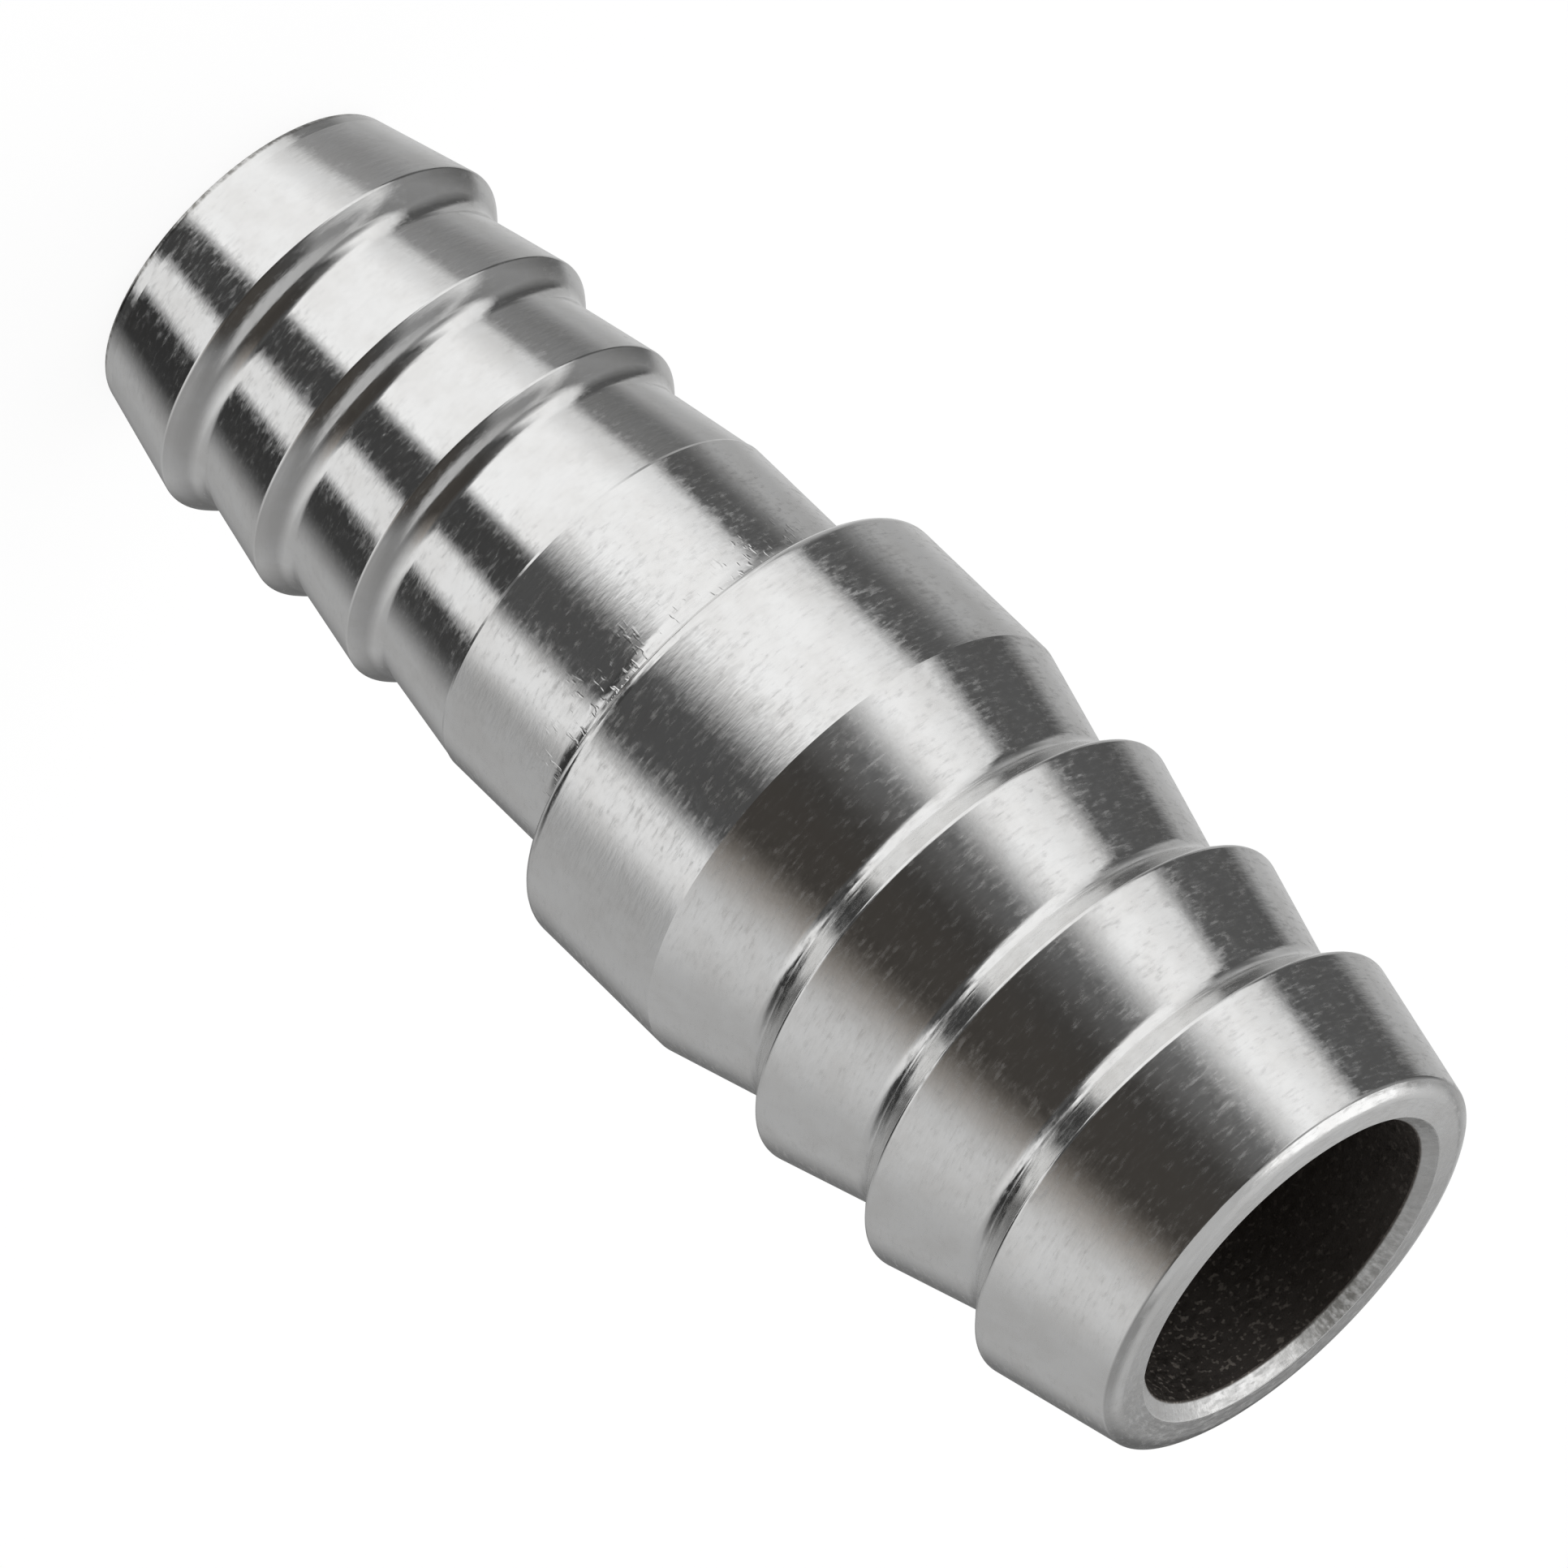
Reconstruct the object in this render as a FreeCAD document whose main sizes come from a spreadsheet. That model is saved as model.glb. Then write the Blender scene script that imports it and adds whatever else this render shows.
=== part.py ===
import FreeCAD, Part
import os

import Sketcher

# Straight reducing hose connector, turned from one bar of stainless steel.
# It stands on its small end. Z runs along its axis, from the small mouth up to the large mouth,
# and the origin is the centre of the small end face. All sizes are in millimetres and degrees.

SIZES = {
    # Barbs on each end
    "barb_count": 3,
    # Small end, for hose of 16 mm inside diameter; its crests grow towards the mouth
    "small_tip_dia": 14.7,
    "small_tip_length": 4.9,
    "small_crest_dia": 16.8,
    "small_crest_growth": 0.2,
    "small_barb_height": 0.85,
    "small_pitch": 5.3,
    # Ramp, neck, collar and taper between the two sets of barbs
    "ramp_length": 5.6,
    "neck_dia": 16.7,
    "neck_length": 6.9,
    "collar_dia": 21.0,
    "collar_length": 7.3,
    "taper_length": 6.2,
    # Large end, for hose of 20 mm inside diameter
    "large_crest_dia": 21.15,
    "large_barb_height": 1.4,
    "large_pitch": 6.2,
    "large_tip_dia": 18.4,
    "large_tip_length": 6.1,
    # Bore, drilled from both mouths; its step starts this far up inside the collar
    "small_bore_dia": 11.0,
    "large_bore_dia": 14.0,
    "bore_step_inset": 2.0,
    "drill_point_angle": 118.0,
    # Barb backs, roundings and edge breaks
    "barb_back_angle": 45.0,
    "small_crest_rounding": 0.15,
    "large_crest_rounding": 0.2,
    "root_rounding": 0.85,
    "collar_rounding": 0.55,
    "collar_foot_rounding": 1.3,
    "small_tip_rounding": 0.4,
    "large_tip_rounding": 0.75,
    "mouth_chamfer": 0.55,
}

# Parts of a wall that its roundings and its chamfer may take at most
RIM_SHARE = 0.3
FOOT_SHARE = 0.65
TIP_SHARE = 0.5
MOUTH_SHARE = 0.35

NEAR = 0.01  # how far an edge may lie from the corner that names it


def make_sheet(doc):
    """Keeps every driving dimension in a spreadsheet cell with an alias."""
    sheet = doc.addObject("Spreadsheet::Sheet", "Sizes")
    for row, (alias, value) in enumerate(SIZES.items(), start=1):
        sheet.set(f"A{row}", alias)
        sheet.set(f"B{row}", str(value))
        sheet.setAlias(f"B{row}", alias)
    doc.recompute()


class TurnedOutline:
    """A closed sketch in the XZ plane: the half section of something turned about the Z axis.

    It is a ring of straight lines between named corners. A corner's radius, and its height above
    another corner, are expressions on the sheet, and each becomes a named dimension of the sketch.
    """

    ORIGIN = (-1, 1)
    AXIS_INDEX = (-2,)

    def __init__(self, body, name):
        self.sketch = body.newObject("Sketcher::SketchObject", name)
        plane = next(f for f in body.Origin.OriginFeatures if f.Role == "XZ_Plane")
        self.sketch.AttachmentSupport = [(plane, "")]
        self.sketch.MapMode = "FlatFace"
        self.corners = []
        self.places = {}

    def value(self, expression):
        return float(self.sketch.evalExpression(expression))

    def at(self, name):
        """Radius and height of a corner."""
        return self.places[name]

    def corner(self, name, radius, above=None, height=None):
        """Adds a corner. It lies on the axis with no radius, and level with the corner named by
        above, or with the origin, with no height."""
        base = self.places[above][1] if above else 0.0
        across = self.value(radius) if radius else 0.0
        up = self.value(height) if height else 0.0
        self.places[name] = (across, base + up)
        self.corners.append((name, radius, above, height))

    def close(self):
        """Draws the lines between the corners, in their order, and dimensions them."""
        names = [corner[0] for corner in self.corners]
        points = [FreeCAD.Vector(*self.places[name], 0) for name in names]
        self.points = {name: (index, 1) for index, name in enumerate(names)}
        ends = points[1:] + points[:1]
        self.sketch.addGeometry([Part.LineSegment(a, b) for a, b in zip(points, ends)], False)
        for index in range(len(names)):
            following = (index + 1) % len(names)
            self.tie("Coincident", (index, 2), (following, 1))
        for name, radius, above, height in self.corners:
            point = self.points[name]
            base = self.points[above] if above else self.ORIGIN
            if radius:
                self.dimension("DistanceX", self.ORIGIN, point, f"{name}_radius", radius)
            else:
                self.tie("PointOnObject", point, self.AXIS_INDEX)
            if height:
                self.dimension("DistanceY", base, point, f"{name}_height", height)
            else:
                self.tie("Horizontal", base, point)

    def tie(self, kind, *parts):
        flat = [number for part in parts for number in part]
        return self.sketch.addConstraint(Sketcher.Constraint(kind, *flat))

    def dimension(self, kind, start, end, name, expression):
        """Adds a named dimension bound to the sheet."""
        index = self.tie(kind, start, end, (self.value(expression),))
        self.sketch.renameConstraint(index, name)
        self.sketch.setExpression(f"Constraints.{name}", expression)

    def level(self, corner, name):
        """Adds a dimension that other sketches can read: a corner's height above the origin."""
        index = self.tie("DistanceY", self.ORIGIN, self.points[corner], (self.at(corner)[1],))
        self.sketch.setDriving(index, False)
        self.sketch.renameConstraint(index, name)


def fall(high, low, angle):
    """How far a cone runs along the axis between two diameters, at an angle from the axis."""
    return f"({high} - {low}) / 2 / tan({angle} * 1 deg)"


def within(cell, wall, share):
    """A rounding or chamfer from the sheet, kept to a share of the wall that it is cut in."""
    return f"min(Sizes.{cell}; {share} * {wall})"


def outer_outline(body, count):
    """Half section of the outside. Both ends' barbs have their backs towards the collar."""
    line = TurnedOutline(body, "OuterOutline")
    line.corner("foot_centre", None)
    line.corner("small_tip", "Sizes.small_tip_dia / 2")

    root = "(Sizes.small_crest_dia - 2 * Sizes.small_barb_height)"
    below, rise = "small_tip", "Sizes.small_tip_length"
    for barb in range(count):
        from_collar = count - 1 - barb
        crest = f"(Sizes.small_crest_dia + {from_collar} * Sizes.small_crest_growth)"
        back = fall(crest, root, "Sizes.barb_back_angle")
        line.corner(f"small_crest_{barb}", f"{crest} / 2", below, rise)
        line.corner(f"small_root_{barb}", f"{root} / 2", f"small_crest_{barb}", back)
        below, rise = f"small_crest_{barb}", "Sizes.small_pitch"

    line.corner("neck_start", "Sizes.neck_dia / 2", below, "Sizes.ramp_length")
    line.corner("neck_end", "Sizes.neck_dia / 2", "neck_start", "Sizes.neck_length")
    line.corner("collar_start", "Sizes.collar_dia / 2", "neck_end")
    line.corner("collar_end", "Sizes.collar_dia / 2", "collar_start", "Sizes.collar_length")

    crest = "Sizes.large_crest_dia"
    root = f"({crest} - 2 * Sizes.large_barb_height)"
    back = fall(crest, root, "Sizes.barb_back_angle")
    below, rise = "collar_end", "Sizes.taper_length"
    for barb in range(count):
        line.corner(f"large_root_{barb}", f"{root} / 2", below, f"{rise} - {back}")
        line.corner(f"large_crest_{barb}", f"{crest} / 2", f"large_root_{barb}", back)
        below, rise = f"large_crest_{barb}", "Sizes.large_pitch"

    line.corner("large_tip", "Sizes.large_tip_dia / 2", below, "Sizes.large_tip_length")
    line.corner("head_centre", None, "large_tip")
    line.close()
    line.level("collar_start", "collar_level")
    line.level("large_tip", "top_level")
    return line


def bore_outline(body):
    """Half section of the stepped bore, from mouth to mouth."""
    small, large = "Sizes.small_bore_dia", "Sizes.large_bore_dia"
    step = "OuterOutline.Constraints.collar_level + Sizes.bore_step_inset * 1 mm"
    cone = fall(large, small, "Sizes.drill_point_angle / 2")
    line = TurnedOutline(body, "BoreOutline")
    line.corner("foot_centre", None)
    line.corner("small_mouth", f"{small} / 2")
    line.corner("step_start", f"{small} / 2", None, step)
    line.corner("step_end", f"{large} / 2", "step_start", cone)
    line.corner("large_mouth", f"{large} / 2", None, "OuterOutline.Constraints.top_level")
    line.corner("head_centre", None, "large_mouth")
    line.close()
    return line


def turn(body, kind, name, outline):
    """Turns an outline about the Z axis: a Revolution adds metal, a Groove takes it away."""
    feature = body.newObject(f"PartDesign::{kind}", name)
    feature.Profile = outline.sketch
    feature.ReferenceAxis = (outline.sketch, ["V_Axis"])
    feature.Angle = 360.0
    body.Document.recompute()
    return feature


def rings_at(shape, corners):
    """Names of the round edges that the outlines' corners leave on the turned shape."""
    found = []
    for radius, height in corners:
        for index, edge in enumerate(shape.Edges, start=1):
            ring = edge.Curve
            if not isinstance(ring, Part.Circle):
                continue
            if abs(ring.Radius - radius) < NEAR and abs(ring.Center.z - height) < NEAR:
                found.append(f"Edge{index}")
                break
        else:
            raise RuntimeError(f"no edge at radius {radius:.2f} and height {height:.2f}")
    return found


def dress(body, base, kind, name, corners, size):
    """Rounds or chamfers the edges at some corners, by an expression on the sheet."""
    feature = body.newObject(f"PartDesign::{kind}", name)
    feature.Base = (base, rings_at(base.Shape, corners))
    feature.setExpression("Radius" if kind == "Fillet" else "Size", size)
    body.Document.recompute()
    return feature


def connector_body(doc):
    """The whole connector: one turned piece, with a bore right through."""
    count = int(SIZES["barb_count"])
    body = doc.addObject("PartDesign::Body", "ConnectorBody")
    body.Label = "connector_body"
    outer = outer_outline(body, count)
    doc.recompute()
    blank = turn(body, "Revolution", "TurnedBlank", outer)
    bore = bore_outline(body)
    doc.recompute()
    drilled = turn(body, "Groove", "SteppedBore", bore)
    if drilled.Shape.Volume >= blank.Shape.Volume:
        raise RuntimeError("the bore took no metal away")

    barbs = range(count)
    small_crests = [outer.at(f"small_crest_{barb}") for barb in barbs]
    large_crests = [outer.at(f"large_crest_{barb}") for barb in barbs]
    roots = [outer.at(f"{end}_root_{barb}") for end in ("small", "large") for barb in barbs]
    collar_face = "(Sizes.collar_dia - Sizes.neck_dia) / 2"
    rim = within("collar_rounding", collar_face, RIM_SHARE)
    foot = within("collar_foot_rounding", collar_face, FOOT_SHARE)
    dressing = [
        ("Fillet", "SmallCrestRounding", small_crests, "Sizes.small_crest_rounding"),
        ("Fillet", "LargeCrestRounding", large_crests, "Sizes.large_crest_rounding"),
        ("Fillet", "RootRounding", roots, "Sizes.root_rounding"),
        ("Fillet", "CollarRounding", [outer.at("collar_start")], rim),
        ("Fillet", "CollarFootRounding", [outer.at("neck_end")], foot),
    ]
    for end in ("small", "large"):
        wall = f"(Sizes.{end}_tip_dia - Sizes.{end}_bore_dia) / 2"
        tip = within(f"{end}_tip_rounding", wall, TIP_SHARE)
        mouth = within("mouth_chamfer", wall, MOUTH_SHARE)
        label = end.capitalize()
        dressing.append(("Fillet", f"{label}TipRounding", [outer.at(f"{end}_tip")], tip))
        dressing.append(("Chamfer", f"{label}MouthChamfer", [bore.at(f"{end}_mouth")], mouth))
    last = drilled
    for kind, name, corners, size in dressing:
        last = dress(body, last, kind, name, corners, size)
    body.Placement = FreeCAD.Placement()
    return body


def check(doc, parts):
    """Stops before anything is written if a feature failed or a solid isn't sound."""
    for item in doc.Objects:
        if "Invalid" in item.State or "Error" in item.State:
            raise RuntimeError(f"{item.Name} failed: {item.State}")
    for part in parts:
        shape = part.Shape
        if shape.isNull() or not shape.isValid() or len(shape.Solids) != 1:
            raise RuntimeError(f"{part.Label} isn't one sound solid")


def main():
    doc = FreeCAD.newDocument("HoseConnector")
    make_sheet(doc)
    parts = [connector_body(doc)]
    doc.recompute()
    check(doc, parts)
    os.makedirs("parts", exist_ok=True)
    for part in parts:
        part.Shape.exportStep(f"parts/{part.Label}.step")
        box = part.Shape.optimalBoundingBox()
        size = f"{box.XLength:.2f} x {box.YLength:.2f} x {box.ZLength:.2f} mm"
        print(f"{part.Label}: {size}, {part.Shape.Volume:.1f} mm3")


main()
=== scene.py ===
import math

import bpy
import numpy as np
from mathutils import Matrix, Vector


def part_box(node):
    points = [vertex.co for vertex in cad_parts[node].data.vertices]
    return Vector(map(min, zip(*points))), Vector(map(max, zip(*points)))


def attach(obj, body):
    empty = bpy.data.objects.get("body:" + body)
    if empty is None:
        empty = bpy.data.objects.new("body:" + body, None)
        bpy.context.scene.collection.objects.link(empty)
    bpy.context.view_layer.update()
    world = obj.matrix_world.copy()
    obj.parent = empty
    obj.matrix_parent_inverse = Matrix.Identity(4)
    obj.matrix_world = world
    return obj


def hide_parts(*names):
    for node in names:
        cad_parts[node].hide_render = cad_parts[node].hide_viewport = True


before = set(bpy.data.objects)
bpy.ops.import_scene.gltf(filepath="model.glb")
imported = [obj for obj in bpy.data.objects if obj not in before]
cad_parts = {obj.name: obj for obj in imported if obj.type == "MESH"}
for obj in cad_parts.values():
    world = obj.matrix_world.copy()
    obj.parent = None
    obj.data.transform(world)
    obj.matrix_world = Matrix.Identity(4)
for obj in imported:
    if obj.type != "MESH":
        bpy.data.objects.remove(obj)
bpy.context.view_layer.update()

# A reducing hose connector of turned steel, standing on its small end on a pale floor.
# Lengths are in metres, as in the frame, unless a name ends in Mm or Um.
mm = 0.001
um = 0.000001


class Wire:
    # one output of a shader node; sums and products of wires and numbers add Math nodes
    def __init__(self, tree, socket):
        self.tree = tree
        self.socket = socket

    def node(self, kind, settings, inputs, output=0):
        return addNode(self.tree, kind, settings, inputs, output)

    def calc(self, operation, *values):
        return self.node("ShaderNodeMath", {"operation": operation}, dict(enumerate(values)))

    def __add__(self, other):
        return self.calc("ADD", self, other)

    def __sub__(self, other):
        return self.calc("SUBTRACT", self, other)

    def __mul__(self, other):
        return self.calc("MULTIPLY", self, other)

    def __truediv__(self, other):
        return self.calc("DIVIDE", self, other)

    def __pow__(self, other):
        return self.calc("POWER", self, other)

    def __radd__(self, other):
        return self.calc("ADD", other, self)

    def __rsub__(self, other):
        return self.calc("SUBTRACT", other, self)

    def __rmul__(self, other):
        return self.calc("MULTIPLY", other, self)

    def __rtruediv__(self, other):
        return self.calc("DIVIDE", other, self)

    def rise(self, start, end):
        # 0 before start, 1 after end, an eased step between them
        settings = {"interpolation_type": "SMOOTHSTEP"}
        return self.node("ShaderNodeMapRange", settings, {0: self, 1: start, 2: end})

    def slope(self, start, end, low, high):
        # low before start, high after end, a straight line between them
        return self.node("ShaderNodeMapRange", {}, {0: self, 1: start, 2: end, 3: low, 4: high})

    def band(self, start, end, edge):
        # 1 between start and end, 0 outside, with eased edges on the inside
        return self.rise(start, start + edge) * self.rise(end, end - edge)


def addNode(tree, kind, settings, inputs, output=0):
    # any node: its settings first, then the values or wires of its sockets
    node = tree.nodes.new(kind)
    for name, value in settings.items():
        setattr(node, name, value)
    for key, value in inputs.items():
        if isinstance(value, Wire):
            tree.links.new(value.socket, node.inputs[key])
        else:
            node.inputs[key].default_value = value
    return Wire(tree, node.outputs[output])


def splitVector(vector):
    return [vector.node("ShaderNodeSeparateXYZ", {}, {0: vector}, axis) for axis in range(3)]


def joinVector(x, y, z):
    tree = next(value for value in (x, y, z) if isinstance(value, Wire)).tree
    return addNode(tree, "ShaderNodeCombineXYZ", {}, {0: x, 1: y, 2: z})


def mixColour(share, first, second):
    # the first colour where share is 0, the second where it is 1
    settings = {"data_type": "RGBA"}
    return share.node("ShaderNodeMix", settings, {0: share, 6: first, 7: second}, 2)


def curvesOf(wire, places, *rows):
    # up to three values that follow one wire by straight lines from place to place; all from -1 to 1
    curves = wire.node("ShaderNodeVectorCurve", {}, {"Vector": joinVector(wire, wire, wire)})
    mapping = curves.socket.node.mapping
    for curve, row in zip(mapping.curves, rows):
        ends = [(-1.0, row[0]), *zip(places, row), (1.0, row[-1])]
        while len(curve.points) < len(ends):
            curve.points.new(0.0, 0.0)
        for point, end in zip(curve.points, ends):
            point.location = end
            point.handle_type = "VECTOR"
    mapping.update()
    return splitVector(curves)


def noise(vector, scale=1.0, detail=2.0, roughness=0.6):
    inputs = {"Vector": vector, "Scale": scale, "Detail": detail, "Roughness": roughness}
    return vector.node("ShaderNodeTexNoise", {}, inputs)


# The turned body
turned = {
    "barbs": 3,
    "smallTipDia": 14.7 * mm,
    "smallTipLength": 4.9 * mm,
    "smallCrestDia": 16.8 * mm,
    "smallCrestGrowth": 0.2 * mm,
    "smallBarbHeight": 0.85 * mm,
    "smallPitch": 5.3 * mm,
    "rampLength": 5.6 * mm,
    "neckDia": 16.7 * mm,
    "neckLength": 6.9 * mm,
    "collarDia": 21.0 * mm,
    "collarLength": 7.3 * mm,
    "taperLength": 6.2 * mm,
    "largeCrestDia": 21.13 * mm,
    "largeBarbHeight": 1.4 * mm,
    "largePitch": 6.2 * mm,
    "largeTipDia": 18.4 * mm,
    "largeTipLength": 6.1 * mm,
    "smallBoreDia": 11.0 * mm,
    "largeBoreDia": 14.0 * mm,
    "boreStepInset": 2.0 * mm,
    "drillPointAngle": 118.0,
    "barbBackAngle": 45.0,
    "smallCrestRounding": 0.15 * mm,
    "largeCrestRounding": 0.2 * mm,
    "rootRounding": 0.85 * mm,
    "collarRounding": 0.55 * mm,
    "collarFootRounding": 1.3 * mm,
    "smallTipRounding": 0.4 * mm,
    "mouthChamfer": 0.55 * mm,
    "smallBackBulge": (0.33, 0.44, 2.5 * mm),   # down and along, as shares of the barb, and rounding
    "neckStep": (0.045 * mm, 0.12 * mm),        # height and length of the step where the neck starts
    "neckStepBreak": 0.03 * mm,
    "faceCrown": 0.07 * mm,                     # fall of the large end face to its rim
    "largeTipLip": (0.28 * mm, 0.40 * mm),      # its bevel: down the cone, and in along the face
    "lipRounding": (0.20 * mm, 1.2 * mm),       # of the bevel's outer edge, then of its inner one
    "edgeBreak": 0.06 * mm,                     # every edge that the tool left sharp
    "arcSteps": 9,
    "turnSteps": 360,
}


# Corners of the half section, as rows of radius, height and rounding. They run out along the small
# end face, up the outside, in across the large end face and down the bore.
def turnedCorners(size, top):
    backSlope = math.tan(math.radians(size["barbBackAngle"]))
    pointSlope = math.tan(math.radians(size["drillPointAngle"] / 2))
    smallBore, largeBore = size["smallBoreDia"] / 2, size["largeBoreDia"] / 2
    chamfer, sharp = size["mouthChamfer"], size["edgeBreak"]
    corners = [
        (smallBore, chamfer, sharp),
        (smallBore + chamfer, 0.0, sharp),
        (size["smallTipDia"] / 2, 0.0, size["smallTipRounding"]),
    ]

    root, height = size["smallCrestDia"] / 2 - size["smallBarbHeight"], size["smallTipLength"]
    for fromCollar in reversed(range(size["barbs"])):
        crest = (size["smallCrestDia"] + fromCollar * size["smallCrestGrowth"]) / 2
        down, along, bulge = size["smallBackBulge"]
        barb = crest - root
        corners.append((crest, height, size["smallCrestRounding"]))
        corners.append((crest - barb * down, height + barb * along, bulge))
        corners.append((root, height + barb / backSlope, size["rootRounding"]))
        height += size["smallPitch"]

    height += size["rampLength"] - size["smallPitch"]
    stepHeight, stepLength = size["neckStep"]
    corners.append((size["neckDia"] / 2 - stepHeight, height - stepLength, size["neckStepBreak"]))
    corners.append((size["neckDia"] / 2, height, size["neckStepBreak"]))
    height += size["neckLength"]
    step = height + size["boreStepInset"]
    corners.append((size["neckDia"] / 2, height, size["collarFootRounding"]))
    corners.append((size["collarDia"] / 2, height, size["collarRounding"]))
    height += size["collarLength"]
    corners.append((size["collarDia"] / 2, height, sharp))

    crest = size["largeCrestDia"] / 2
    root = crest - size["largeBarbHeight"]
    height += size["taperLength"]
    for barb in range(size["barbs"]):
        corners.append((root, height - (crest - root) / backSlope, size["rootRounding"]))
        corners.append((crest, height, size["largeCrestRounding"]))
        height += size["largePitch"]

    tip = size["largeTipDia"] / 2
    down, inwards = size["largeTipLip"]
    outerEdge, innerEdge = size["lipRounding"]
    coneSlope = (crest - tip) / size["largeTipLength"]
    crownSlope = size["faceCrown"] / (tip - largeBore - chamfer)
    rim = top - size["faceCrown"]
    corners += [
        (tip + down * coneSlope, rim - down, outerEdge),
        (tip - inwards, rim + inwards * crownSlope, innerEdge),
        (largeBore + chamfer, top, sharp),
        (largeBore, top - chamfer, sharp),
        (largeBore, step + (largeBore - smallBore) / pointSlope, sharp),
        (smallBore, step, sharp),
    ]
    return np.array(corners)


# Rounds an outline's corners. At each corner the heading swings evenly from the side before to the
# side after, round a centre that lies one rounding away from both sides. Gives points and normals.
def roundOutline(corners, arcSteps):
    points, rounding = corners[:, :2], corners[:, 2:]
    sides = np.roll(points, -1, axis=0) - points
    headings = np.arctan2(sides[:, 1], sides[:, 0])
    before = np.roll(headings, 1)
    turn = (headings - before + math.pi) % (2 * math.pi) - math.pi
    along = np.stack([np.cos(before), np.sin(before)], axis=1)
    inwards = np.stack([-np.sin(before), np.cos(before)], axis=1) * np.sign(turn)[:, None]
    reach = rounding * np.tan(np.abs(turn) / 2)[:, None]
    centres = points - along * reach + inwards * rounding

    swing = before[:, None] + turn[:, None] * np.linspace(0, 1, arcSteps)
    outwards = np.stack([np.sin(swing), -np.cos(swing)], axis=2)
    arcs = centres[:, None, :] + outwards * (rounding * np.sign(turn)[:, None])[:, None, :]
    return arcs.reshape(-1, 2), outwards.reshape(-1, 2)


# Carries a closed half section round the Z axis: the point at (radius, height) goes to
# (radius * cos(angle), radius * sin(angle), height) at every angle of a full turn.
def turnedMesh(name, profile, normals, turnSteps):
    angles = np.linspace(0, 2 * math.pi, turnSteps, endpoint=False)

    def carry(section):
        across = section[:, :1] * np.cos(angles), section[:, :1] * np.sin(angles)
        return np.stack([*across, np.repeat(section[:, 1:], turnSteps, axis=1)], axis=2).reshape(-1, 3)

    ring = np.arange(len(profile))[:, None] * turnSteps
    ringAbove = np.roll(ring, -1, axis=0)
    here = np.arange(turnSteps)
    following = np.roll(here, -1)
    quads = np.stack([ring + here, ring + following, ringAbove + following, ringAbove + here], axis=2)

    mesh = bpy.data.meshes.new(name)
    mesh.from_pydata(carry(profile), [], quads.reshape(-1, 4))
    mesh.polygons.foreach_set("use_smooth", np.ones(len(mesh.polygons), dtype=bool))
    mesh.normals_split_custom_set_from_vertices(carry(normals))

    steps = np.linalg.norm(np.diff(profile, axis=0), axis=1)
    travelled = np.concatenate([[0.0], np.cumsum(steps)])
    sectionLength = mesh.attributes.new("sectionLength", "FLOAT", "POINT")
    sectionLength.data.foreach_set("value", np.repeat(travelled, turnSteps))
    return mesh


def makeTurnedBody(size):
    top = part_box("connector_body")[1].z
    profile, normals = roundOutline(turnedCorners(size, top), size["arcSteps"])
    mesh = turnedMesh("turned_body", profile, normals, size["turnSteps"])
    piece = bpy.data.objects.new("turned_body", mesh)
    bpy.context.scene.collection.objects.link(piece)
    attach(piece, "root")
    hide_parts("connector_body")
    return piece


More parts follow.
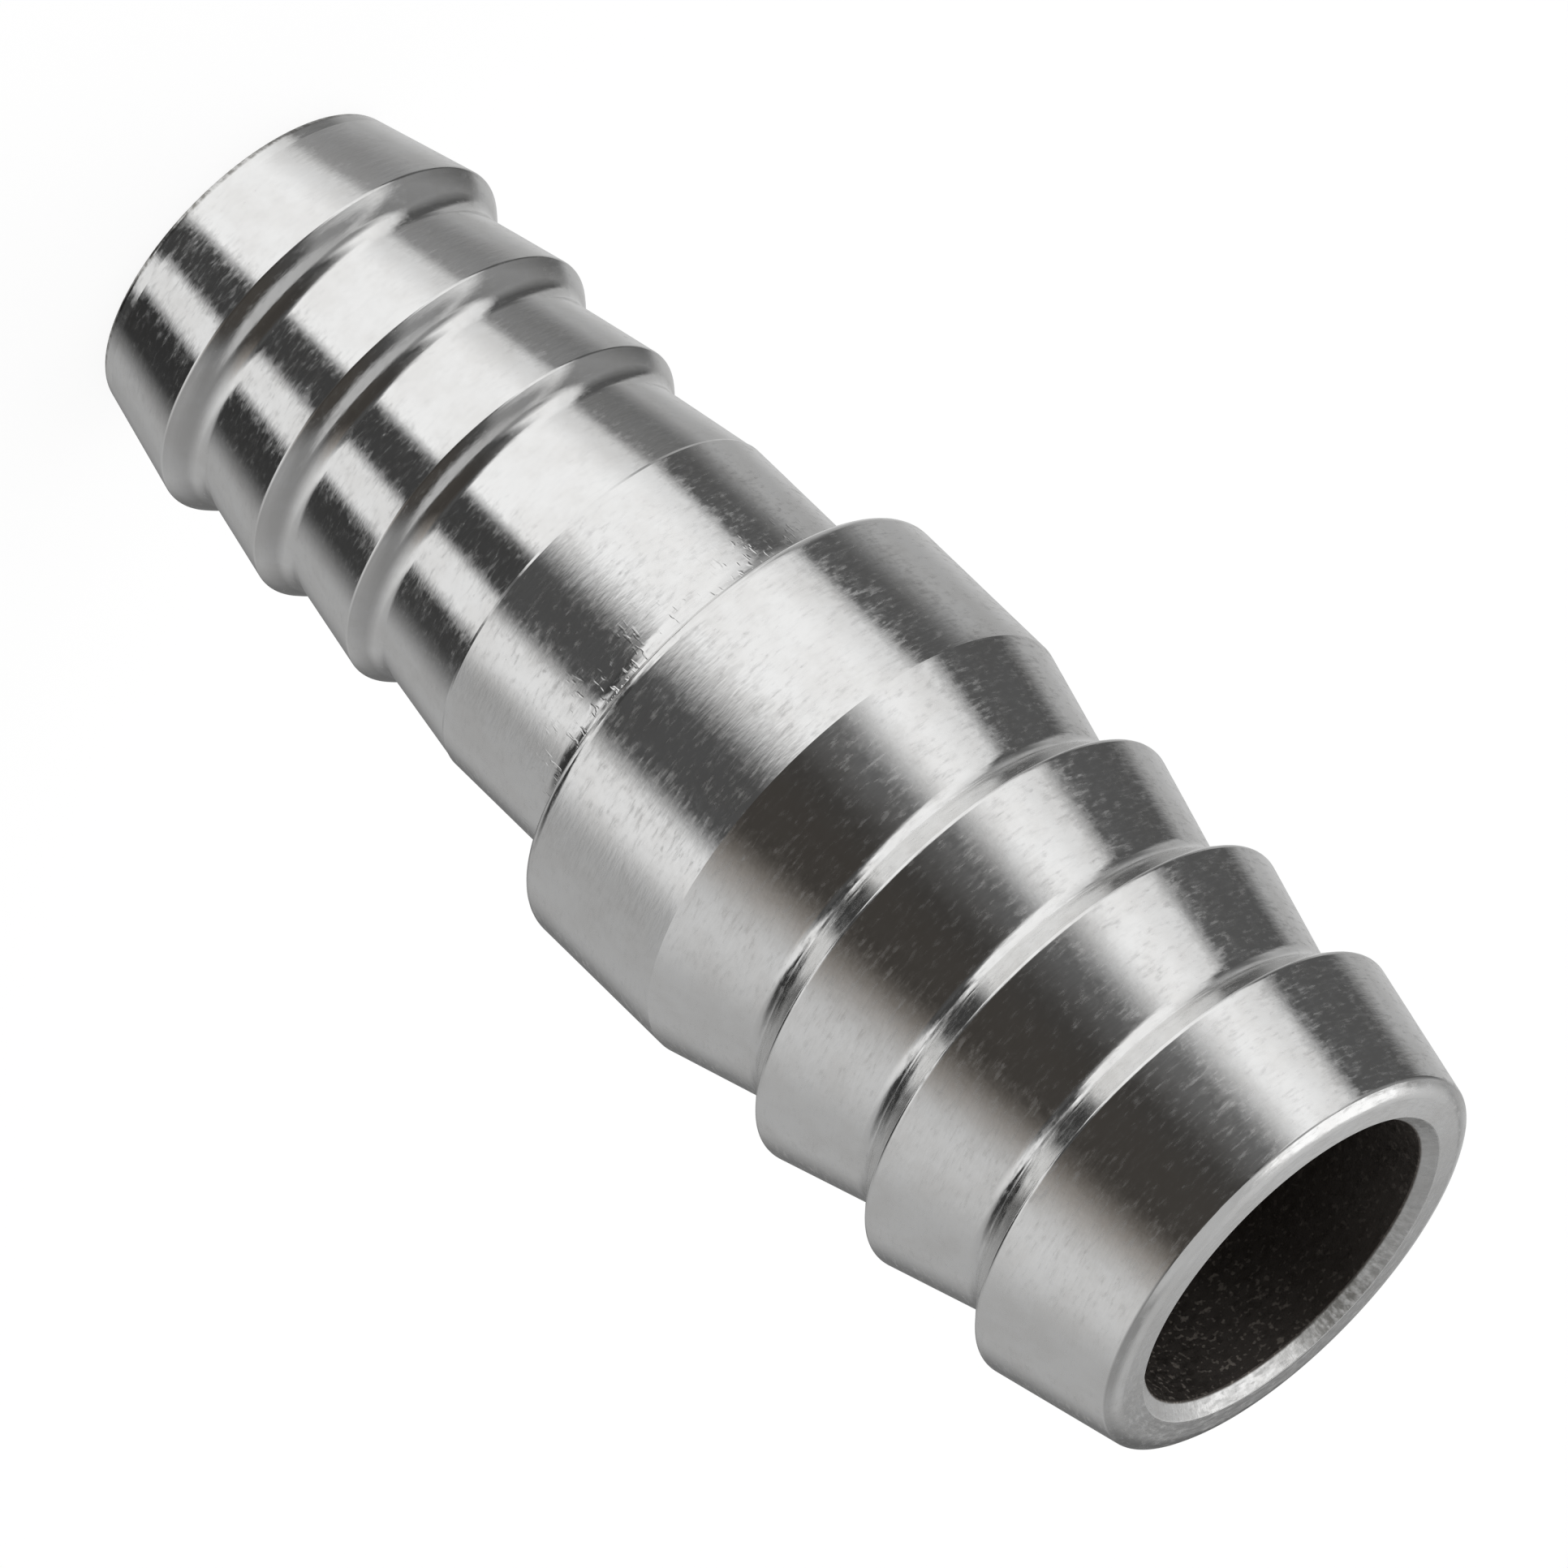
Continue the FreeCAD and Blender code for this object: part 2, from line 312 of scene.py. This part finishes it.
# Turned stainless steel. Heights of the marks on it are in micrometres.
steel = {
    "colour": (0.82, 0.82, 0.815, 1.0),
    "roughness": 0.045,
    "ringsPerMm": 3.0,        # rings that the tool's feed left, right round
    "ringHeightUm": 1.4,
    "streaksPerMm": 5.0,      # short streaks along the rings
    "streaksRound": 11.0,
    "streakHeightUm": 5.0,
    "mottlePerMm": 2.4,       # soft patches that ripple the reflections
    "mottleHeightUm": 2.2,
    "grainPerMm": 6.0,        # fine satin grain, longer round the part than along it
    "grainRound": 15.0,
    "grainLevel": (0.44, 0.74),
    "grainRoughness": 0.18,
    "patchLevel": (0.80, 1.20),   # of the streaks and the mottle together
    "patchRoughness": 0.13,
    "specksPerMm": 5.0,
    "specksRound": 28.0,
    "speckLevel": (0.66, 0.80),
    "speckRoughness": 0.12,
    "smallTailShare": 0.68,   # how much of the marks the smaller tail has, up to the neck
    "smallTailEnd": (20 * mm, 24 * mm),
    "cloudsPerMm": 0.55,      # wide, faint clouds in the metal's tone
    "cloudLevel": (0.35, 0.68),
    "cloudColour": (0.775, 0.770, 0.760, 1.0),
    "cloudRoughness": 0.03,
    # painted shade: the bore's colour is darkened where shade falls inside it; its light specks are
    # painted glints
    "boreShadeColour": (0.20, 0.18, 0.165, 1.0),
    "boreGlintColour": (0.60, 0.55, 0.50, 1.0),
    "boreGlintLevel": (0.57, 0.70),
    "boreGlintSides": (-2 * mm, 5 * mm, 0.3, 1.0),    # more of the painted glints show on the right
    "boreRoughness": 0.45,
    "boreEdge": (0.10 * mm, 0.02 * mm),    # beyond its radius, where its finish sets in
    "mouthEdge": 0.03 * mm,
    "mouthHeights": (30 * mm, 50 * mm),    # the large mouth's finish sets in between these
    "chatterPerMm": 2.0,      # ridges that the tool left as it chattered round the mouth
    "chatterRound": 30.0,
    "chatterHeightUm": 14.0,
    # painted shade on the mouth's chamfer and the small end's rim, patterned by the chatter ridges
    "paintedShadeColour": (0.27, 0.265, 0.25, 1.0),
    "chatterLevel": (0.35, 0.70),
    # how much the chatter ridges lift the painted shade, a painted sheen on them
    "chatterShadeLift": 0.7,
    "chatterRoughness": 0.20,
    "shadeFadeLeft": (-5 * mm, -1 * mm, 0.2, 1.0),      # the painted shade on the chamfer fades out at both sides
    "shadeFadeRight": (0.5 * mm, 3 * mm, 1.0, 0.0),
    "mouthFallUm": 205.0,     # how much flatter the burnished chamfer shines than it is cut
    "scuffPerMm": (1.9, 5.0),    # scuffs where the neck meets the collar, along and round
    "scuffLevel": (0.57, 0.75),
    "scuffLength": 3.2 * mm,
    "scuffEnd": 0.05 * mm,
    "scuffHeightUm": 15.0,
    "rimShadeHeights": (0.38 * mm, 0.22 * mm),  # the small end's rim gets painted shade below these, where it meets the floor
    "rimShadeRadii": (7.0 * mm, 7.15 * mm),
}


def makeSteel(look, size):
    material = bpy.data.materials.new("turnedSteel")
    material.use_nodes = True
    tree = material.node_tree
    shader = tree.nodes["Principled BSDF"]

    place = addNode(tree, "ShaderNodeTexCoord", {}, {}, 3)
    x, y, z = splitVector(place)
    radius = (x * x + y * y) ** 0.5
    alongMm = addNode(tree, "ShaderNodeAttribute", {"attribute_name": "sectionLength"}, {}, 2) / mm

    def streaky(perMm, around):
        share = around / radius
        return joinVector(x * share, y * share, alongMm * perMm)

    rings = addNode(tree, "ShaderNodeTexNoise", {"noise_dimensions": "1D"},
                    {"W": alongMm * look["ringsPerMm"], "Scale": 1.0, "Detail": 3.0, "Roughness": 0.65})
    streaks = noise(streaky(look["streaksPerMm"], look["streaksRound"]))
    mottle = noise(place, look["mottlePerMm"] / mm)
    marked = z.slope(*look["smallTailEnd"], look["smallTailShare"], 1.0)
    heightUm = rings * look["ringHeightUm"] + streaks * marked * look["streakHeightUm"]
    heightUm = heightUm + mottle * marked * look["mottleHeightUm"]

    # the chatter is on the mouth's chamfer only, the scuffs at the top of the neck
    boreRadius = size["largeBoreDia"] / 2
    mouthRadius = boreRadius + size["mouthChamfer"]
    mouth = radius.band(boreRadius, mouthRadius, look["mouthEdge"]) * z.rise(*look["mouthHeights"])
    chatter = noise(streaky(look["chatterPerMm"], look["chatterRound"]), roughness=0.7)
    heightUm = heightUm + mouth * chatter * look["chatterHeightUm"]
    heightUm = heightUm + radius.slope(boreRadius, mouthRadius, look["mouthFallUm"], 0.0)

    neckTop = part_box("connector_body")[1].z - size["largeTipLength"] - 2 * size["largePitch"]
    neckTop = neckTop - size["taperLength"] - size["collarLength"]
    scuffed = z.rise(neckTop - look["scuffLength"], neckTop)
    scuffed = scuffed * z.rise(neckTop + look["scuffEnd"], neckTop)
    perMm, perMmRound = look["scuffPerMm"]
    scuffs = noise(streaky(perMm, perMmRound * size["neckDia"] / 2 / mm), detail=1.0, roughness=0.5)
    heightUm = heightUm + scuffed * scuffs.rise(*look["scuffLevel"]) * look["scuffHeightUm"]
    bump = addNode(tree, "ShaderNodeBump", {}, {"Strength": 1.0, "Distance": um, "Height": heightUm})
    tree.links.new(bump.socket, shader.inputs["Normal"])

    grain = noise(streaky(look["grainPerMm"], look["grainRound"])).rise(*look["grainLevel"])
    patches = (mottle + streaks).rise(*look["patchLevel"])
    specks = noise(streaky(look["specksPerMm"], look["specksRound"]), detail=1.0, roughness=0.5)
    clouds = noise(place, look["cloudsPerMm"] / mm, detail=3.0).rise(*look["cloudLevel"])
    boreFrom, boreTo = look["boreEdge"]
    inBore = radius.rise(boreRadius + boreFrom, boreRadius + boreTo)
    marks = grain * look["grainRoughness"] + patches * look["patchRoughness"]
    marks = marks + specks.rise(*look["speckLevel"]) * look["speckRoughness"]
    rough = look["roughness"] + marks * marked + clouds * look["cloudRoughness"]
    rough = rough + inBore * look["boreRoughness"] + mouth * look["chatterRoughness"]
    tree.links.new(rough.socket, shader.inputs["Roughness"])

    # painted shade in the bore, with painted glints as light specks, more of them on the right
    boreGlints = specks.rise(*look["boreGlintLevel"]) * x.slope(*look["boreGlintSides"])
    boreShadeColour = mixColour(boreGlints, look["boreShadeColour"], look["boreGlintColour"])
    colour = mixColour(inBore, mixColour(clouds, look["colour"], look["cloudColour"]), boreShadeColour)
    # painted shade: the mouth's chamfer is darkened, less at its sides, and so is the small end's rim;
    # the chatter ridges lift it as a painted sheen
    mouthShadeSpread = x.slope(*look["shadeFadeLeft"]) * x.slope(*look["shadeFadeRight"])
    # painted shade along the small end's rim, low down by the floor
    rim = z.rise(*look["rimShadeHeights"]) * radius.rise(*look["rimShadeRadii"])
    paintedShade = (mouth * mouthShadeSpread + rim) * (1 - chatter.rise(*look["chatterLevel"]) * look["chatterShadeLift"])
    colour = mixColour(paintedShade, colour, look["paintedShadeColour"])
    tree.links.new(colour.socket, shader.inputs["Base Color"])
    shader.inputs["Metallic"].default_value = 1.0
    return material


# The studio, as the object sees it: soft boxes and dark flags that stand all round. It is given
# from the left of the camera round to its right, as steps. A step is a side where one thing ends
# and the next begins: its place in degrees round the axis from the camera, half its softness in
# degrees, and how light the next thing is. Each has a value at every one of the heights, which
# are in degrees above the level.
studio = {
    "heights": (-45, -34, -22, 0, 28, 48),
    "surround": (0.44, 0.42, 0.43, 0.45, 0.40, 0.42),
    "steps": [
        {
            "at": (-116, -124, -108, -146, -170, -170),
            "soft": (16, 14, 14, 9, 9, 9),
            "light": (0.33, 0.17, 0.10, 0.10, 0.27, 0.24),
        },
        {
            "at": (-85, -81, -77, -82, -87, -92),
            "soft": (6, 5, 5, 6, 8, 8),
            "light": (0.75, 0.75, 0.80, 0.82, 0.85, 0.60),
        },
        {
            "at": (-66, -62, -64, -66, -72, -79),
            "soft": (14, 14, 12, 10, 10, 8),
            "light": (1.02, 1.04, 1.02, 1.00, 1.00, 0.28),
        },
        {
            "at": (9, 10, -5, -42, -40, -34),
            "soft": (6, 7, 20, 14, 10, 10),
            "light": (0.06, 0.055, 0.07, 0.16, 0.07, 0.08),
        },
        {
            "at": (9, 10, 4, -18, -18, -18),
            "soft": (6, 7, 12, 12, 12, 12),
            "light": (0.055, 0.055, 0.085, 0.050, 0.050, 0.06),
        },
        {
            "at": (41, 41, 43.5, 44, 46, 56),
            "soft": (5, 5, 8, 21, 18, 16),
            "light": (0.87, 0.89, 0.86, 0.68, 0.42, 0.25),
        },
        {
            "at": (68, 71, 72, 88, 88, 88),
            "soft": (5, 6, 12, 22, 22, 22),
            "light": (0.035, 0.06, 0.43, 0.47, 0.33, 0.27),
        },
        {
            "at": (118, 108, 95, 110, 110, 110),
            "soft": (16, 20, 12, 20, 20, 20),
            "light": (0.44, 0.42, 0.43, 0.45, 0.31, 0.28),
        },
    ],
    # behind the object, where the light depends on the height and the side alone
    "back": {
        "from": 135,
        "to": 165,
        "sides": (-0.05, 0.05),
        "heights": (-62, -50, -38, -30, -23, 5, 14, 20, 27, 40),
        "left": (0.60, 0.75, 0.70, 0.60, 0.60, 0.45, 0.33, 0.50, 0.60, 0.60),
        "right": (0.60, 0.12, 0.18, 0.34, 0.18, 0.13, 0.17, 0.28, 0.46, 0.48),
    },
    # above and below everything the light depends on the side, told by the direction's x or y
    "above": {"from": 57, "to": 67, "sides": (-0.5, 0.3), "left": 0.45, "right": 0.52},
    "below": {"from": -54, "to": -62, "sides": (0.0, 0.3), "front": 1.00, "back": 0.60},
    # a dark flag below: its light, then each edge's slant in y and where x sets in
    "flag": {"light": 0.13, "edges": ((0.21, 0.08, 0.14), (0.43, 0.39, 0.31))},
    # a soft box high up behind, on the left: where it sets in from the right, left, front and below
    "lamp": {
        "light": 1.20,
        "right": (-0.12, -0.20),
        "left": (-0.58, -0.50),
        "front": (0.04, 0.16),
        "low": (0.52, 0.62),
    },
    # the dark flag in the middle is a little warm where it is level: how much, and the degrees up
    # and round between which that sets in and ends
    "warmth": {"share": 0.10, "up": ((-15, -3), (62, 54)), "round": ((-30, 10), (60, 30))},
}


def makeStudio(look):
    world = bpy.data.worlds.new("studio")
    bpy.context.scene.world = world
    world.use_nodes = True
    tree = world.node_tree
    direction = addNode(tree, "ShaderNodeTexCoord", {}, {}, 0)
    x, y, z = splitVector(direction)
    azimuth = x.calc("ARCTAN2", x, 0 - y) / math.pi
    elevation = z.calc("ARCSINE", z) / (math.pi / 2)

    def fade(light, target, share):
        return light + (target - light) * share

    def scaled(row, unit):
        return [value / unit for value in row]

    # azimuth and elevation run from -1 to 1; light is halved, because a curve ends at 1
    heights = scaled(look["heights"], 90)
    light = curvesOf(elevation, heights, look["surround"])[0]
    for step in look["steps"]:
        rows = scaled(step["at"], 180), scaled(step["soft"], 180), scaled(step["light"], 2)
        at, soft, half = curvesOf(elevation, heights, *rows)
        light = fade(light, half * 2, ((azimuth - at) / soft).rise(-1, 1))

    back = look["back"]
    sides = curvesOf(elevation, scaled(back["heights"], 90), back["left"], back["right"])
    behind = fade(sides[0], sides[1], x.rise(*back["sides"]))
    away = azimuth.calc("ABSOLUTE", azimuth).rise(back["from"] / 180, back["to"] / 180)
    light = fade(light, behind, away)
    above, below, flag, lamp = look["above"], look["below"], look["flag"], look["lamp"]
    sky = x.slope(*above["sides"], above["left"], above["right"])
    light = fade(light, sky, elevation.rise(above["from"] / 90, above["to"] / 90))
    inLamp = x.rise(*lamp["right"]) * x.rise(*lamp["left"])
    inLamp = inLamp * y.rise(*lamp["front"]) * z.rise(*lamp["low"])
    light = fade(light, lamp["light"], inLamp)
    ground = y.slope(*below["sides"], below["front"], below["back"])
    edges = [(x + y * slant).rise(start, end) for slant, start, end in flag["edges"]]
    inFlag = edges[0] * edges[1]
    ground = fade(ground, flag["light"], inFlag)
    light = fade(ground, light, elevation.rise(below["to"] / 90, below["from"] / 90))

    warm = look["warmth"]["share"]
    for up, around in zip(look["warmth"]["up"], look["warmth"]["round"]):
        warm = warm * elevation.rise(*scaled(up, 90)) * azimuth.rise(*scaled(around, 180))
    colour = joinVector(light * (1 + warm), light, light * (1 - warm))
    tree.links.new(colour.socket, tree.nodes["Background"].inputs["Color"])

    # the camera sees plain white in place of the studio
    white = addNode(tree, "ShaderNodeBackground", {}, {"Color": (1.0, 1.0, 1.0, 1.0)})
    seen = addNode(tree, "ShaderNodeLightPath", {}, {}, 0)
    studioLight = Wire(tree, tree.nodes["Background"].outputs[0])
    both = addNode(tree, "ShaderNodeMixShader", {}, {0: seen, 1: studioLight, 2: white})
    tree.links.new(both.socket, tree.nodes["World Output"].inputs["Surface"])


# The floor shows white to the camera and keeps a faint shadow; the metal sees the studio instead
floorLook = {
    "halfWidth": 3.0,
    "glow": 0.90,
    "albedo": 0.25,
}


def makeFloor(look):
    half = look["halfWidth"]
    mesh = bpy.data.meshes.new("floor")
    corners = [(-half, -half, 0.0), (half, -half, 0.0), (half, half, 0.0), (-half, half, 0.0)]
    mesh.from_pydata(corners, [], [(0, 1, 2, 3)])
    floor = bpy.data.objects.new("floor", mesh)
    bpy.context.scene.collection.objects.link(floor)
    floor.visible_glossy = False
    floor.visible_diffuse = False

    material = bpy.data.materials.new("floorPaper")
    material.use_nodes = True
    tree = material.node_tree
    tree.nodes.remove(tree.nodes["Principled BSDF"])
    grey = (look["albedo"],) * 3 + (1.0,)
    paper = addNode(tree, "ShaderNodeBsdfDiffuse", {}, {"Color": grey})
    glow = addNode(tree, "ShaderNodeEmission", {}, {"Strength": look["glow"]})
    both = addNode(tree, "ShaderNodeAddShader", {}, {0: paper, 1: glow})
    tree.links.new(both.socket, tree.nodes["Material Output"].inputs["Surface"])
    mesh.materials.append(material)


# The camera looks down at the large mouth through a long lens, rolled so that the connector lies
# from the upper left to the lower right of the picture. Pixels are those of the 1932 px picture.
cameraLook = {
    "tilt": 22.2,              # degrees that the axis leans towards the camera
    "pictureSize": 1932,
    "focalLength": 25000,      # in pixels
    "pixelsPerMetre": 32760,   # at the large end face
    "faceCentre": (1591.9, 1565.2),
    "axisAngle": -44.06,       # degrees, of the axis in the picture, below the horizontal
    "sensor": 36.0,
}


def makeCamera(look):
    tilt, roll = math.radians(look["tilt"]), math.radians(look["axisAngle"])
    back = np.array([0.0, -math.cos(tilt), math.sin(tilt)])
    axisAcross = np.array([0.0, math.sin(tilt), math.cos(tilt)])   # the axis as the camera sees it
    beside = np.cross(back, axisAcross)
    right = axisAcross * math.cos(roll) - beside * math.sin(roll)
    up = np.cross(back, right)

    size = look["pictureSize"]
    distance = look["focalLength"] / look["pixelsPerMetre"]
    across = (look["faceCentre"][0] - size / 2) / look["pixelsPerMetre"]
    down = (look["faceCentre"][1] - size / 2) / look["pixelsPerMetre"]
    target = np.array([0.0, 0.0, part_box("connector_body")[1].z])
    place = target - right * across + up * down + back * distance

    data = bpy.data.cameras.new("camera")
    data.sensor_fit = "HORIZONTAL"
    data.sensor_width = look["sensor"]
    data.lens = look["focalLength"] / size * look["sensor"]
    camera = bpy.data.objects.new("camera", data)
    stance = np.eye(4)
    stance[:3] = np.stack([right, up, back, place], axis=1)
    camera.matrix_world = Matrix(stance)
    bpy.context.scene.collection.objects.link(camera)
    bpy.context.scene.camera = camera


bpy.context.scene.view_settings.view_transform = "Standard"
makeCamera(cameraLook)
makeStudio(studio)
makeFloor(floorLook)
print("camera, studio and floor made")

turnedBody = makeTurnedBody(turned)
turnedBody.data.materials.append(makeSteel(steel, turned))
print("turned body made:", len(turnedBody.data.polygons), "faces")
